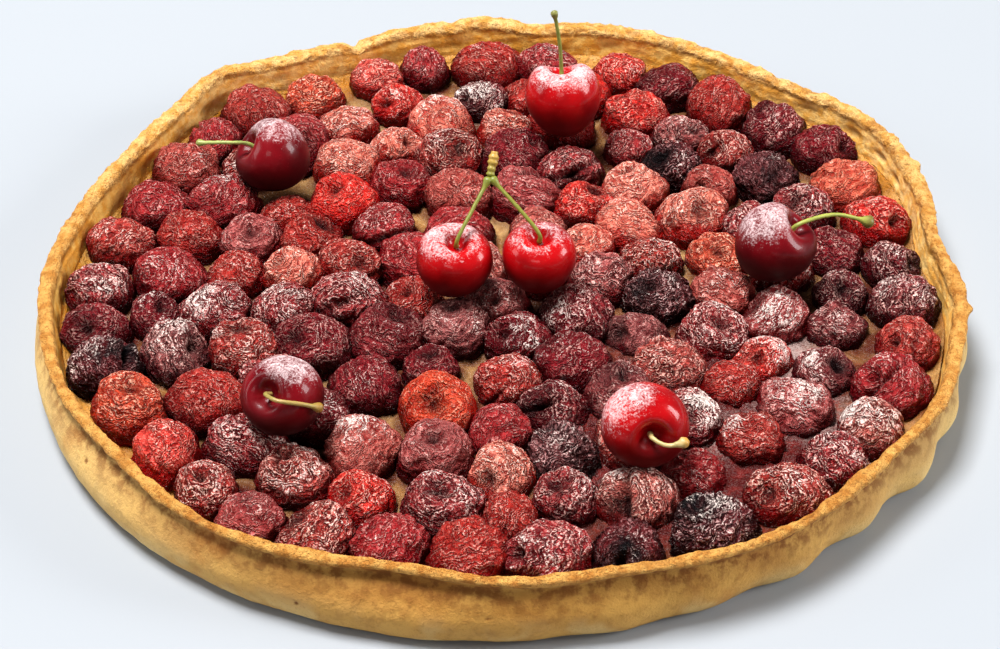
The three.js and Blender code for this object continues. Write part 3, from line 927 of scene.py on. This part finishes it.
def baked_finish(kind):
    top, side, furrow, ridge = KINDS[kind]
    calm = kind in CALM_KINDS
    n = Nodes(f"baked_skin_{kind}")
    skin = n.vector("skin")
    tone, wrinkle, sugar, on_top, cavity = n.values("tone wrinkle sugar top cavity")
    # some skins are drawn up into rough, powdery wrinkles, others stay calm and full of juice
    rough = n.span(n.math("FRACT", n.times(tone, 7.0)), 0.2, 0.75, 0.35, 0.75 if calm else 1.0)
    blotches = n.noise(skin, 0.13, 3, 0.6)
    patches = n.noise(skin, 0.2, 2, 0.5)
    waver = n.noise(skin, 0.45, 3, 0.6)
    knots = n.noise(skin, 0.85, 0)
    grain = n.noise(skin, 0.9, 3, 0.7)
    flecks = n.noise(skin, 1.5, 2, 0.7)
    powder = n.noise(skin, 2.4, 2, 0.7)
    net = n.noise(skin, 0.85, 1, 0.5)
    lines = n.span(n.math("ABSOLUTE", n.plus(net, -0.5)), 0.12, 0.03)
    across = n.plus(n.value("rings"), n.times(n.plus(waver, -0.5), 5.5))
    wave = n.times(n.math("SINE", n.times(across, math.tau / WRINKLE_STEP)), 0.85)
    wave = n.plus(wave, n.times(n.plus(knots, -0.5), 1.5))
    shrunk = n.span(patches, 0.38, 0.54, 0.35, 1.0)
    wave = n.times(wave, n.span(shrunk, 0.35, 1.0, 0.6, 1.0))
    furrows = n.times(n.span(wave, -0.1, -0.8), n.span(on_top, 0.0, 0.45, 0.3, 1.0))
    ridges = n.span(n.plus(wave, n.times(n.plus(grain, -0.5), 1.4)), 0.35, 0.85)

    # painted light and shade: the skin takes the top colour where it faces up and the side colour
    # lower down, broken up by blotches and by each cherry's tone
    lit = n.mix(n.span(tone, 0.4, 0.0, 0, 0.16), top, ridge)
    shade = n.plus(on_top, n.times(blotches, 1.7), n.times(tone, -0.35))
    body = n.blend(shade, 0.75, 1.45, side, lit)
    # painted shade: the skin darkens to the furrow colour in its low folds and its furrows, most on
    # rough skins
    fold = n.mix(n.span(rough, 0.35, 0.95, 0.15, 1.0), side, furrow)
    body = n.mix(n.span(wrinkle, 0.58, 0.2, 0, 0.72), body, fold)
    body = n.mix(n.times(furrows, n.span(rough, 0.35, 1.0, 0.5, 0.75)), body, fold)
    # painted highlight, with the paleness of fine sugar, on the crests of the wrinkles that face up
    crests = n.plus(n.times(ridges, 0.42), n.times(lines, n.span(wave, -0.5, 0.5, 0.06, 0.58)))
    crest_highlight = n.times(crests, n.span(on_top, 0.15, 0.8, 0.02, 1.05))
    crest_highlight = n.times(crest_highlight, n.span(wrinkle, 0.25, 0.7, 0.4, 1.0))
    crest_highlight = n.times(crest_highlight, n.span(flecks, 0.34, 0.56, 0.3, 1.0), shrunk, rough)
    body = n.mix(crest_highlight, body, ridge)
    pores = n.times(n.span(n.plus(powder, n.times(crests, 0.2)), 0.42, 0.32), shrunk, rough, 0.6)
    body = n.mix(pores, body, fold)
    glints = n.span(n.plus(powder, n.times(crests, 0.25)), 0.62, 0.74)
    body = n.mix(n.times(glints, shrunk, rough, n.span(on_top, 0.05, 0.7, 0.05, 0.7)), body, ridge)
    # painted shade on the lower side of each cherry
    body = n.mix(n.times(n.value("foot"), 0.9), body, furrow)
    # painted shade in the stalk hollows, holes and splits
    body = n.mix(n.times(cavity, 0.95), body, n.mix(0.7, furrow, "0c0406"))
    worn = n.span(n.plus(patches, n.times(wrinkle, 0.3)), 0.4, 0.8, 1.0, 0.75)
    body = n.mix(n.times(n.value("scorch"), worn), body, "0c090b")

    # sugar keeps to the ridges, and lies thick only where much of it fell
    settle = n.plus(sugar, n.times(crests, 0.25), n.times(wrinkle, 0.4), n.times(furrows, -0.35))
    settle = n.plus(settle, n.times(cavity, -1.2), n.times(powder, 1.7), n.times(grain, 0.6))
    settle = n.plus(settle, n.times(n.plus(blotches, -0.5), 1.5))
    settle = n.plus(settle, n.times(n.plus(rough, -0.7), 0.4))
    dust = n.span(settle, 1.84, 2.5, 0, 0.9)
    body = n.mix(dust, body, "f6e4da")

    roughness = n.span(dust, 0.0, 0.6, 0.28, 0.85)
    normal = n.bump(lines, 0.12, 0.8, n.bump(wave, 0.5, 1.0))
    return n.finish(body, roughness, normal, specular=0.12 if calm else 0.08)


# ---- custard ----

CUSTARD_LEVEL = 11.2
CUSTARD_CLIMB = 4
CUSTARD_SIDES = 720
SKIRT_SHARE = 0.978
UNDER_FRESH = 13  # how far the shade under a fresh cherry reaches
PINK_CUSTARD = (62, -78, 72)  # x, y, reach of the part that the cherries' juice has stained


def custard_radii():
    """Ring sizes as shares of the wall radius, finer near the wall, with their numbers of sides."""
    inner = np.linspace(0.02, 0.93, 106)
    outer = np.linspace(0.93, 1.0, 14)[1:]
    shares = np.concatenate([inner, outer])
    halvings = [sum(share < limit for limit in (0.12, 0.26, 0.52)) for share in shares]
    return shares, [CUSTARD_SIDES // 2**times for times in halvings]


def add_custard(cherries):
    shares, sides = custard_radii()
    rings, faces, start = [], [], 0
    for share, count in zip(shares, sides):
        degrees = np.arange(count) * 360 / count
        wall = inner_wall_radius(degrees) - CLEARANCE
        reach = share * wall
        rings.append(polar(reach, np.radians(degrees), wall - reach))
    sizes = [len(ring) for ring in rings]
    starts = np.cumsum([0, *sizes])
    for i in range(len(rings) - 1):
        a = starts[i] + np.arange(sizes[i])
        a_next = np.roll(a, -1)
        if sizes[i + 1] == sizes[i]:
            b = starts[i + 1] + np.arange(sizes[i + 1])
            faces.append(np.stack([a, b, np.roll(b, -1), a_next], axis=-1))
            continue
        b = starts[i + 1] + np.arange(0, sizes[i + 1], 2)
        middle, b_next = b + 1, np.roll(b, -1)
        for trio in ((a, b, middle), (a, middle, a_next), (a_next, middle, b_next)):
            faces.append(np.stack(trio, axis=-1))
    flat = np.concatenate(rings)
    x, y, from_wall = flat.T

    nearest = np.full(len(x), np.inf)
    for cherry in cherries:
        nearest = np.minimum(nearest, np.hypot(x - cherry.x, y - cherry.y) - cherry.r)
    clear = np.clip(nearest, 0, None)
    pink = patch(x, y, *PINK_CUSTARD)
    dark_side = np.clip(pink + smooth_step(x, 60, 110) * (1 - smooth_step(y, 30, 70)), 0, 1)
    spot = np.stack([x, y, np.zeros_like(x)], axis=-1)
    level = CUSTARD_LEVEL - 1.2 + 0.6 * noise(spot / 9, 21) + 0.35 * noise(spot / 2.6, 22)
    level += pink * (3.0 + 1.6 * noise(spot / 6, 23) + 0.8 * noise(spot / 2.4, 25))
    climb = CUSTARD_CLIMB * np.exp(-from_wall / 2.2) * (1 + 0.22 * noise(spot / 12, 24))
    by_cherry = np.exp(-clear / 1.3)
    level += 0.9 * by_cherry + climb * (1 - 0.35 * by_cherry)
    points = np.stack([x, y, level], axis=-1)
    seats = [fresh[:2] for fresh in FRESH_CHERRIES.values()]
    shade = np.clip(sum(patch(x, y, *seat, UNDER_FRESH) for seat in seats), 0, 1)

    floor = FLOOR_THICKNESS + CLEARANCE
    rim = points[starts[-2] :]
    skirt = rim * np.array([SKIRT_SHARE, SKIRT_SHARE, 0]) + np.array([0, 0, floor])
    points = np.concatenate([points, skirt, [(0, 0, points[0, 2]), (0, 0, floor)]])
    top_rim = starts[-2] + np.arange(CUSTARD_SIDES)
    low_rim = starts[-1] + np.arange(CUSTARD_SIDES)
    faces.append(np.stack([top_rim, low_rim, np.roll(low_rim, -1), np.roll(top_rim, -1)], axis=-1))
    faces.append(fan_faces(np.arange(sizes[0]), len(points) - 2))
    faces.append(fan_faces(low_rim, len(points) - 1, flip=True))

    def layer(values):
        return np.concatenate([values, np.zeros(CUSTARD_SIDES + 2)])

    layers = {
        # juice stain and painted shade next to each cherry, reaching further on the juice-stained
        # side
        "juice_stain_and_shade": layer(bell(clear / (2.6 + 2.4 * dark_side))),
        "shade": layer(shade),
        "pink": layer(pink),
        "film": layer(bell(from_wall / 8) * (1 - 0.75 * dark_side)),
        "sugar": layer(sugar_at(x, y) * (1 - 0.9 * shade)),
    }
    add_piece("custard", points, faces, layers, custard_finish(), "cherry_filling")


def custard_finish():
    n = Nodes("baked_custard")
    at, pink = n.place(), n.value("pink")
    broad = n.noise(at, 70, 3)
    mottle = n.noise(at, 420, 4, 0.6)
    fine = n.noise(at, 1700, 3, 0.6)
    base = n.blend(broad, 0.35, 0.65, "cea268", "ae7a42")
    base = n.mix(n.span(mottle, 0.45, 0.7, 0, 0.6), base, "965f30")
    rosy = n.blend(mottle, 0.4, 0.56, "a03430", "4c0408")
    rosy = n.mix(n.span(fine, 0.55, 0.7, 0, 0.5), rosy, "c88a78")
    base = n.mix(n.span(n.plus(pink, n.times(broad, 0.4)), 0.45, 0.95), base, rosy)
    # juice stain and painted shade darken the custard next to the cherries
    juice_stain_and_shade = n.times(n.value("juice_stain_and_shade"), n.span(broad, 0.3, 0.7, 0.6, 1.0))
    base = n.mix(juice_stain_and_shade, base, "4a1210")
    base = n.mix(n.times(n.value("shade"), 0.9), base, "3a0a0c")
    amber = n.blend(broad, 0.4, 0.6, "d89a46", "b8741e")
    base = n.mix(n.times(n.value("film"), n.span(mottle, 0.35, 0.6, 0.6, 1.0)), base, amber)
    dust = n.span(n.plus(n.value("sugar"), fine, n.times(mottle, 0.6)), 1.3, 2.0, 0, 0.62)
    dust = n.times(dust, n.span(pink, 0.1, 0.8, 1.0, 0.55))
    base = n.mix(dust, base, "ead2c8")
    normal = n.bump(fine, 0.35, 0.8, n.bump(mottle, 2.0, 1.0))
    return n.finish(base, n.span(dust, 0, 0.5, 0.28, 0.8), normal, specular=0.2)


# ---- fresh cherries ----

FRESH_PROFILE = [  # radius, height along the stalk axis, as shares of the half width
    (0, -0.97), (0.33, -0.9), (0.68, -0.63), (0.93, -0.2), (0.99, 0.24), (0.86, 0.65),
    (0.58, 0.87), (0.36, 0.84), (0.19, 0.66), (0, 0.56),
]
FRESH_STEPS = [5, 6, 7, 6, 7, 7, 7, 6, 4]
FRESH_SIDES = 72
FRESH_WAIST, FRESH_SEAM = 0.02, 0.01
# The side that the sugar fell on, where it thins out, how much of it there is, and how far the
# cherry's two shoulders rise past the cleft between them.
FRESH_DETAILS = {
    "back": ((0, 0.1, 0.98), 0.3, 0.95, 0.72, 0.085),
    "upper_left": ((0.15, 0.4, 0.9), 0.15, 0.9, 0.6, 0.03),
    "pair_left": ((-0.1, 0, 1), 0.35, 0.9, 0.64, 0.03),
    "pair_right": ((0, 0, 1), 0.4, 0.95, 0.54, 0.03),
    "right": ((-0.32, 0.05, 0.94), 0.25, 0.9, 0.64, 0.05),
    "lower_left": ((0.2, 0.35, 0.9), 0.15, 1.0, 0.68, 0.035),
    "front": ((-0.6, 0.05, 0.8), 0.2, 1.05, 0.68, 0.03),
}
# Colours of the skin, of its underside, which is painted dark as shade, and of its freckles,
# roughness, and clear coat.
FRESH_SKINS = {
    "red": ("b2080e", "400003", "dc524a", 0.22, 0.3),
    "dark": ("740812", "180002", "a42834", 0.28, 0.2),
}


def fresh_centre(name, cherries):
    """A fresh cherry sinks until it meets the first baked one."""
    x, y, width = FRESH_CHERRIES[name][:3]
    heights = [0]
    for baked in cherries:
        apart = math.hypot(baked.x - x, baked.y - y)
        touch = width / 2 + CLEARANCE + baked.r
        if apart < touch:
            heights.append(baked.z + math.sqrt(touch**2 - apart**2))
    return Vector((x, y, max(heights)))


def add_fresh_cherry(name, cherries):
    width, faces_to, skin = FRESH_CHERRIES[name][2:]
    fell_on, thin, thick, amount, cleft = FRESH_DETAILS[name]
    profile = spline(np.array(FRESH_PROFILE), FRESH_STEPS)
    around = np.arange(FRESH_SIDES) * math.tau / FRESH_SIDES
    radius = profile[1:-1, :1] * np.ones((1, FRESH_SIDES))
    height = profile[1:-1, 1:] * np.ones((1, FRESH_SIDES))
    shoulder = bell((radius - 0.6) / 0.3) * (height > 0)
    height = height + cleft * shoulder * np.cos(2 * around)
    seam = FRESH_SEAM * bell((around - math.pi) / 0.09)
    unit = polar(radius * (1 + FRESH_WAIST * np.cos(2 * around)) - seam, around, height)
    seed = len(name)
    unit = unit * (1 + 0.012 * noise(unit * 1.3 + seed * 9, 31))[..., None]
    ends = [(0, 0, profile[0, 1]), (0, 0, profile[-1, 1])]
    points = np.concatenate([unit.reshape(-1, 3), ends])
    faces = closed_faces(len(unit), FRESH_SIDES)
    stalk_axis = Vector(faces_to).normalized()
    turned = np.array(Vector((0, 0, 1)).rotation_difference(stalk_axis).to_matrix())
    settled = points @ turned.T
    placed = settled * (width / 2) + np.array(fresh_centre(name, cherries))
    sugar = amount * smooth_step(settled @ np.array(fell_on), thin, thick)
    in_hollow = bell(np.hypot(points[:, 0], points[:, 1]) / 0.26) * (points[:, 2] > 0)
    layers = {
        "skin": points * (width / 2) + seed * 40,
        "sugar": sugar - 0.35 * in_hollow,
        # how low a point sits on the cherry, for the painted shade underneath and its duller gloss
        "low": smooth_step(-settled[:, 2], -0.6, 0.3),
    }
    finish = fresh_finish(name, skin)
    node, slot = f"fresh_cherry_{name}", f"{skin}_cherry_skin"
    add_piece(f"glossy_cherry_{name}", placed, faces, layers, finish, node)


def fresh_finish(name, skin):
    base, deep, light, rough, gloss = FRESH_SKINS[skin]
    n = Nodes(f"glossy_skin_{name}")
    at, low = n.vector("skin"), n.value("low")
    clouds = n.noise(at, 0.10, 2)
    freckles = n.noise(at, 1.6, 2, 0.5)
    smear = n.noise(at, 0.28, 4, 0.7, 0.9)
    powder = n.noise(at, 1.5, 3, 0.75)
    body = n.mix(n.span(clouds, 0.35, 0.7, 0, 0.5), base, deep)
    body = n.mix(n.span(freckles, 0.62, 0.75, 0, 0.25), body, light)
    # painted shade: the skin darkens towards its underside
    body = n.mix(n.times(low, 0.85), body, deep)
    settle = n.plus(n.value("sugar"), smear, n.times(powder, 1.3))
    dust = n.span(settle, 1.5, 2.15, 0, 0.84)
    body = n.mix(dust, body, "f4dada")
    roughness = n.plus(n.span(dust, 0.0, 0.4, rough, 0.7), n.times(low, 0.25))
    coat = n.times(n.span(dust, 0.0, 0.3, gloss, 0.0), n.span(low, 0.0, 0.6, 1.0, 0.0))
    normal = n.bump(n.times(dust, powder), 0.25, 0.5, n.bump(smear, 0.25, 0.4))
    return n.finish(body, roughness, normal, coat=coat, coat_roughness=0.07, specular=0.12)


# ---- stems ----

STEM_RADIUS = 0.64
STEM_FOOT_LIFT = 1.1
STEM_STRAIGHT = 3
HOLLOW_FLOOR = 0.56
STEM_FLARE = 1.5  # how far up its foot the stem is flared
STEM_SIDES = 14
STEM_STEPS = 40
CURVE_STEPS = 60

# Single stems: size of the end, steps from the cherry's centre, colours of stalk and end.
STEMS = {
    "back": (1.3, [(-1.2, 3.6, 21), (-3.2, 4.4, 33.7)], "8e9a44", "7c7a3a"),
    "upper_left": (1.3, [(-15, -3.6, 8.6), (-26.4, -0.6, 6.6)], "a3ad60", "8b8f45"),
    "right": (2.1, [(20, 5.2, 8.0), (33.2, 8, 2.4)], "a2a648", "6f6526"),
    "lower_left": (
        1.6,
        [(-1.5, -11.6, 7.8), (5.5, -11.4, 6.2), (11.6, -8.3, 1.9)],
        "a8894c",
        "8f6a26",
    ),
    "front": (1.7, [(6.2, -13.6, 2.6), (12.6, -12.6, 3.2)], "c9ae74", "b98a3c"),
}
TWIN_JOINT = (-4, 0, 57)
TWIN_SPUR_TOP = (-2.4, 4.4, 63.6)
TWIN_KNOB = 1.5
TWIN_LEG_SHARE = 0.55  # the part of the green that the legs show, up to the joint
TWIN_COLOURS = ("7e7e28", "b8903c")


def stem_start(name, cherries):
    centre = fresh_centre(name, cherries)
    width, faces_to = FRESH_CHERRIES[name][2:4]
    facing = Vector(faces_to).normalized()
    foot = HOLLOW_FLOOR * width / 2 + STEM_FOOT_LIFT
    return [np.array(centre + facing * rise) for rise in (foot, foot + STEM_STRAIGHT)]


def path_through(points, steps):
    """Even steps along a centripetal Catmull-Rom curve, as the solid's stems follow."""
    ends = with_ends(np.array(points, dtype=float))
    fine = []
    for p0, p1, p2, p3 in zip(ends, ends[1:], ends[2:], ends[3:]):
        d0, d1, d2 = (math.sqrt(np.linalg.norm(b - a)) for a, b in ((p0, p1), (p1, p2), (p2, p3)))
        out = ((p1 - p0) / d0 - (p2 - p0) / (d0 + d1) + (p2 - p1) / d1) * d1
        into = ((p2 - p1) / d1 - (p3 - p1) / (d1 + d2) + (p3 - p2) / d2) * d1
        c2, c3 = -3 * p1 + 3 * p2 - 2 * out - into, 2 * p1 - 2 * p2 + out + into
        for t in np.arange(CURVE_STEPS) / CURVE_STEPS:
            fine.append(p1 + out * t + c2 * t**2 + c3 * t**3)
    fine = np.array([*fine, points[-1]])
    gone = np.concatenate([[0], np.cumsum(np.linalg.norm(np.diff(fine, axis=0), axis=1))])
    even = np.linspace(0, gone[-1], steps)
    return np.stack([np.interp(even, gone, fine[:, axis]) for axis in range(3)], axis=-1)


def tube(path, radii, seed):
    """A closed uneven tube along `path`: its points and faces."""
    along = np.gradient(path, axis=0)
    along /= np.linalg.norm(along, axis=1, keepdims=True)
    side = np.cross(along[0], (0.3, 0.2, 1))
    around = np.arange(STEM_SIDES) * math.tau / STEM_SIDES
    rings = []
    for centre, direction, radius in zip(path, along, radii):
        side = side - direction * np.dot(side, direction)
        side = side / np.linalg.norm(side)
        other = np.cross(direction, side)
        circle = np.outer(np.cos(around), side) + np.outer(np.sin(around), other)
        rings.append(centre + radius * circle)
    rings = np.array(rings)
    outward = rings - path[:, None]
    rings = path[:, None] + outward * (1 + 0.16 * noise(rings * 0.9 + seed, 41))[..., None]
    points = np.concatenate([rings.reshape(-1, 3), path[:1], path[-1:]])
    return points, closed_faces(len(path), STEM_SIDES)


def knobbed(path, knob):
    """Radii along a stem, which is flared at its foot and swollen into a rounded knob at its end,
    and how far along each of them is."""
    length = np.linalg.norm(np.diff(path, axis=0), axis=1).sum()
    gone = np.linspace(0, length, len(path))
    left = length - gone
    bulge = (knob - STEM_RADIUS) * bell((left - 0.9 * knob) / (1.2 * knob))
    rounded = np.sqrt(np.clip(1 - np.clip(1 - left / (0.9 * knob), 0, 1) ** 2, 0.02, 1))
    flared = STEM_RADIUS * (1 + 0.45 * np.exp(-gone / STEM_FLARE))
    return (flared + bulge) * rounded, gone / length


def join_tubes(tubes):
    points, faces, share, start = [], [], [], 0
    for (tube_points, tube_faces), along in tubes:
        points.append(tube_points)
        faces += [group + start for group in tube_faces]
        share.append(np.concatenate([np.repeat(along, STEM_SIDES), [along[0], along[-1]]]))
        start += len(tube_points)
    return np.concatenate(points), faces, np.concatenate(share)


def add_stem(name, cherries):
    knob, steps, green, end = STEMS[name]
    centre = np.array(fresh_centre(name, cherries))
    further = [centre + np.array(step) for step in steps]
    path = path_through([*stem_start(name, cherries), *further], STEM_STEPS)
    radii, gone = knobbed(path, knob)
    points, faces, share = join_tubes([(tube(path, radii, len(name)), gone)])
    material = stem_finish(name, green, end)
    add_piece(f"stalk_{name}", points, faces, {"along": share}, material, f"stem_{name}")


def add_twin_stem(cherries):
    tubes = []
    for name in ("pair_left", "pair_right"):
        path = path_through([*stem_start(name, cherries), TWIN_JOINT], STEM_STEPS)
        radii, gone = knobbed(path, TWIN_KNOB)
        tubes.append((tube(path, radii, len(name)), gone * TWIN_LEG_SHARE))
    path = path_through([TWIN_JOINT, TWIN_SPUR_TOP], STEM_STEPS)
    along = np.linspace(0, 1, STEM_STEPS)
    radii = 1.25 + 0.35 * along + 0.16 * np.sin(along * 26) + 0.12 * np.sin(along * 11 + 1)
    radii *= np.sqrt(1 - np.linspace(-0.93, 0.93, STEM_STEPS) ** 6)
    tubes.append((tube(path, radii, 5), 0.8 + 0.2 * along))
    points, faces, share = join_tubes(tubes)
    material = stem_finish("twin", *TWIN_COLOURS)
    add_piece("stalk_twin", points, faces, {"along": share}, material, "twin_stem")


def stem_finish(name, green, end):
    n = Nodes(f"stalk_{name}")
    at, along = n.place(), n.value("along")
    blotches = n.noise(at, 260, 3)
    fibres = n.noise(at, 1600, 3, 0.6)
    body = n.blend(blotches, 0.35, 0.7, green, n.mix(0.4, green, "6b7a2a"))
    body = n.mix(n.span(n.plus(along, n.times(blotches, 0.1)), 0.84, 1.0), body, end)
    body = n.mix(n.span(fibres, 0.6, 0.75, 0, 0.4), body, "5f5a22")
    normal = n.bump(fibres, 0.15, 0.5, n.bump(blotches, 0.4, 0.5))
    return n.finish(body, 0.42, normal, specular=0.5)


# ---- the scene ----

add_camera()
add_floor()
add_lights()
baked_cherries = lay_out_baked_cherries()
add_crust()
add_custard(baked_cherries)
add_baked_cherries(baked_cherries)
for fresh_name in FRESH_CHERRIES:
    add_fresh_cherry(fresh_name, baked_cherries)
for stem_name in STEMS:
    add_stem(stem_name, baked_cherries)
add_twin_stem(baked_cherries)
